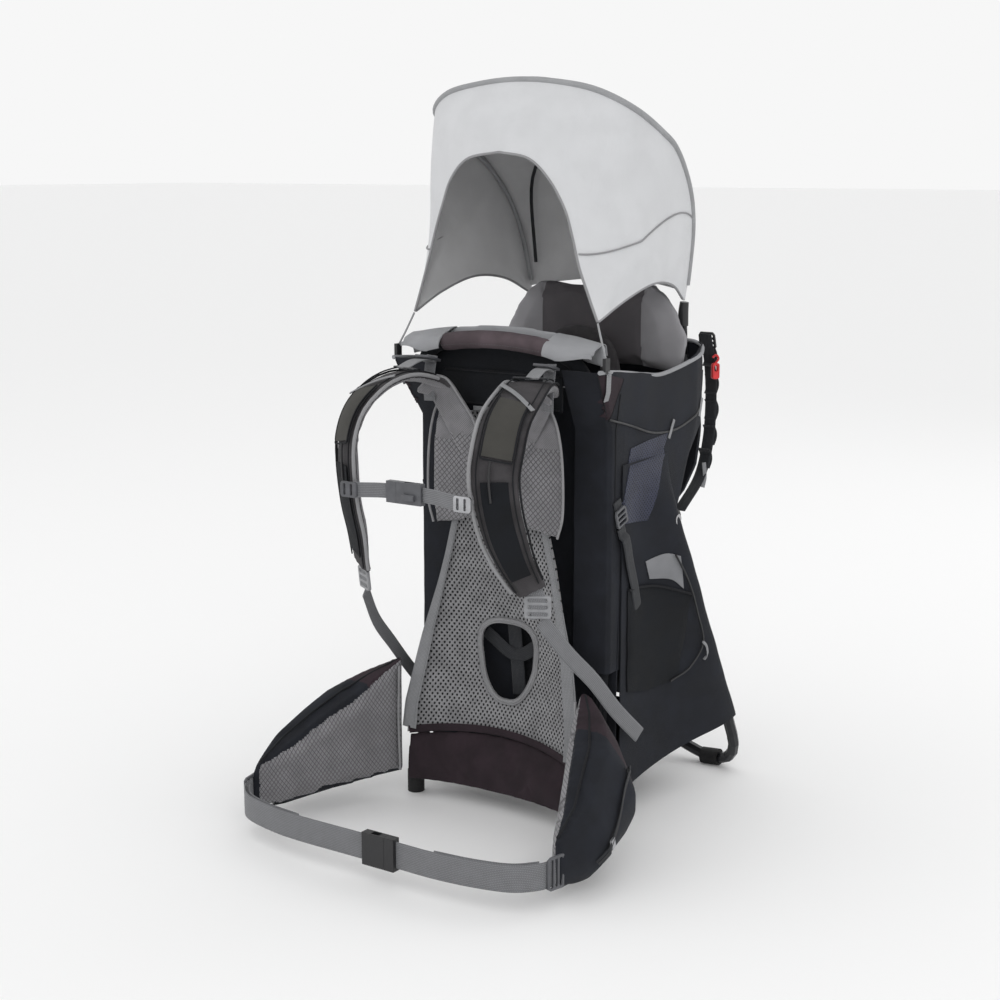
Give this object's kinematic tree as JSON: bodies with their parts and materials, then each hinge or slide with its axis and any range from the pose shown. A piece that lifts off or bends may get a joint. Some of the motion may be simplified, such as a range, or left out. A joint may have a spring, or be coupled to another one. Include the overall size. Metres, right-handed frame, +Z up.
{
  "type": "child carrier backpack",
  "caption": "Framed child carrier backpack with a fold-back sunshade, a kickstand, a padded child seat and an adjustable shoulder and hip harness.",
  "frame": {"origin": "on the floor, under the middle of the object's bounding box", "axes": "+Z up; -Y is the wearer's side, with the mesh back panel and the harness, and +Y is the kickstand's side; +X is the right-hand side seen from -Y"},
  "size_m": [0.6104, 0.717, 1.0796],
  "materials": {
    "frame_tube": "black satin anodised tube",
    "rubber": "matte black moulded rubber",
    "hub_plastic": "matte dark grey moulded nylon",
    "pin_steel": "satin",
    "body_fabric": "black plain-weave nylon, matte",
    "plum_fabric": "dark plum ripstop nylon, matte",
    "grip_fabric": "purple-grey brushed fabric over foam",
    "rim_fabric": "mid grey brushed knit over foam",
    "pad_fabric": "grey brushed knit over foam",
    "harness_fabric": "black knit with a grey edge",
    "buckle_plastic": "satin dark grey moulded acetal",
    "shade_fabric": "light silver-grey ripstop",
    "shade_trim": "mid grey bound edge",
    "back_mesh": "grey spacer mesh",
    "grey_webbing": "grey ribbed nylon webbing",
    "dark_webbing": "black ribbed nylon webbing",
    "zip_metal": "satin cast pull",
    "light_piping": "light grey piping",
    "lining_fabric": "grey coated lining",
    "side_mesh": "open dark netting",
    "red_plastic": "red moulded clip"
  },
  "bodies": {
    "root": {"main_frame": "frame_tube", "lower_crossbar": "frame_tube", "cockpit_frame": "frame_tube", "handle_pad": "grip_fabric", "front_rim_pad": "rim_fabric", "cockpit_shell": "body_fabric", "upper_front_panel": "body_fabric", "headrest": "pad_fabric", "storage_floor": "body_fabric", "mesh_back_panel": "back_mesh", "lumbar_panel": "plum_fabric", "hip_buckle_female": "buckle_plastic", "front_foot_right": "rubber", "front_foot_left": "rubber", "pivot_bracket_right": "hub_plastic", "pivot_bracket_left": "hub_plastic", "hinge_pin_right": "pin_steel", "hinge_pin_left": "pin_steel", "gusset_right": "body_fabric", "gusset_left": "body_fabric", "load_lifter_strap_right": "grey_webbing", "load_lifter_strap_left": "grey_webbing", "lower_strap_right": "grey_webbing", "lower_strap_left": "grey_webbing", "hip_wing_right": "body_fabric", "hip_wing_left": "body_fabric", "hip_webbing_right": "grey_webbing", "hip_webbing_left": "grey_webbing", "side_strap_right": "dark_webbing", "side_strap_left": "dark_webbing", "rear_strap_right": "dark_webbing", "rear_strap_left": "dark_webbing"},
    "kickstand": {"kickstand_frame": "frame_tube", "storage_rear_panel": "body_fabric", "kickstand_hub_right": "hub_plastic", "kickstand_hub_left": "hub_plastic", "kickstand_foot_right": "rubber", "kickstand_foot_left": "rubber"},
    "sunshade": {"canopy": "shade_fabric", "visor_hoop": "shade_trim", "rear_bow": "shade_trim", "tie_cord_right": "shade_trim", "tie_cord_left": "shade_trim", "shade_hook_right": "buckle_plastic", "shade_hook_left": "buckle_plastic"},
    "harness": {"yoke": "back_mesh", "shoulder_strap_right": "body_fabric", "shoulder_strap_left": "body_fabric", "strap_buckle_right": "buckle_plastic", "strap_buckle_left": "buckle_plastic"},
    "sternum": {"sternum_buckle_female": "buckle_plastic", "sternum_webbing_right": "grey_webbing", "sternum_webbing_left": "grey_webbing"},
    "sternum_male": {"sternum_buckle_male": "buckle_plastic"},
    "hip_male": {"hip_buckle_male": "buckle_plastic"},
    "seat": {"child_seat": "pad_fabric", "halo_harness": "harness_fabric", "seat_buckle": "buckle_plastic"},
    "zip_right": {"zip_pull_right": "zip_metal"},
    "zip_left": {"zip_pull_left": "zip_metal"}
  },
  "joints": [
    {"name": "kickstand_fold", "type": "hinge", "parent": "root", "child": "kickstand", "pos_m": [0, 0.15501, 0.44], "axis": [1, 0, 0], "range_deg": [-24, 0], "deforming": ["gusset_right", "gusset_left", "storage_floor"]},
    {"name": "sunshade_fold", "type": "hinge", "parent": "root", "child": "sunshade", "pos_m": [0, 0.26401, 0.755], "axis": [1, 0, 0], "range_deg": [-70, 0]},
    {"name": "torso_adjust", "type": "slide", "parent": "root", "child": "harness", "axis": [0, 0, 1], "range_m": [-0.045, 0.015], "deforming": ["lower_strap_right", "lower_strap_left", "load_lifter_strap_right", "load_lifter_strap_left"]},
    {"name": "sternum_height", "type": "slide", "parent": "harness", "child": "sternum", "axis": [0, 0, 1], "range_m": [-0.03, 0.03]},
    {"name": "sternum_release", "type": "slide", "parent": "sternum", "child": "sternum_male", "axis": [1, 0, 0], "range_m": [-0.018, 0], "deforming": ["sternum_webbing_left"]},
    {"name": "hip_release", "type": "slide", "parent": "root", "child": "hip_male", "axis": [1, 0, 0], "range_m": [0, 0.03], "deforming": ["hip_webbing_right"]},
    {"name": "seat_height", "type": "slide", "parent": "root", "child": "seat", "axis": [0, 0, 1], "range_m": [0, 0.05]},
    {"name": "zip_right_slide", "type": "slide", "parent": "root", "child": "zip_right", "axis": [0.1231, -0.9486, -0.2915], "range_m": [-0.06, 0]},
    {"name": "zip_left_slide", "type": "slide", "parent": "root", "child": "zip_left", "axis": [-0.1231, -0.9486, -0.2915], "range_m": [-0.06, 0]}
  ]
}
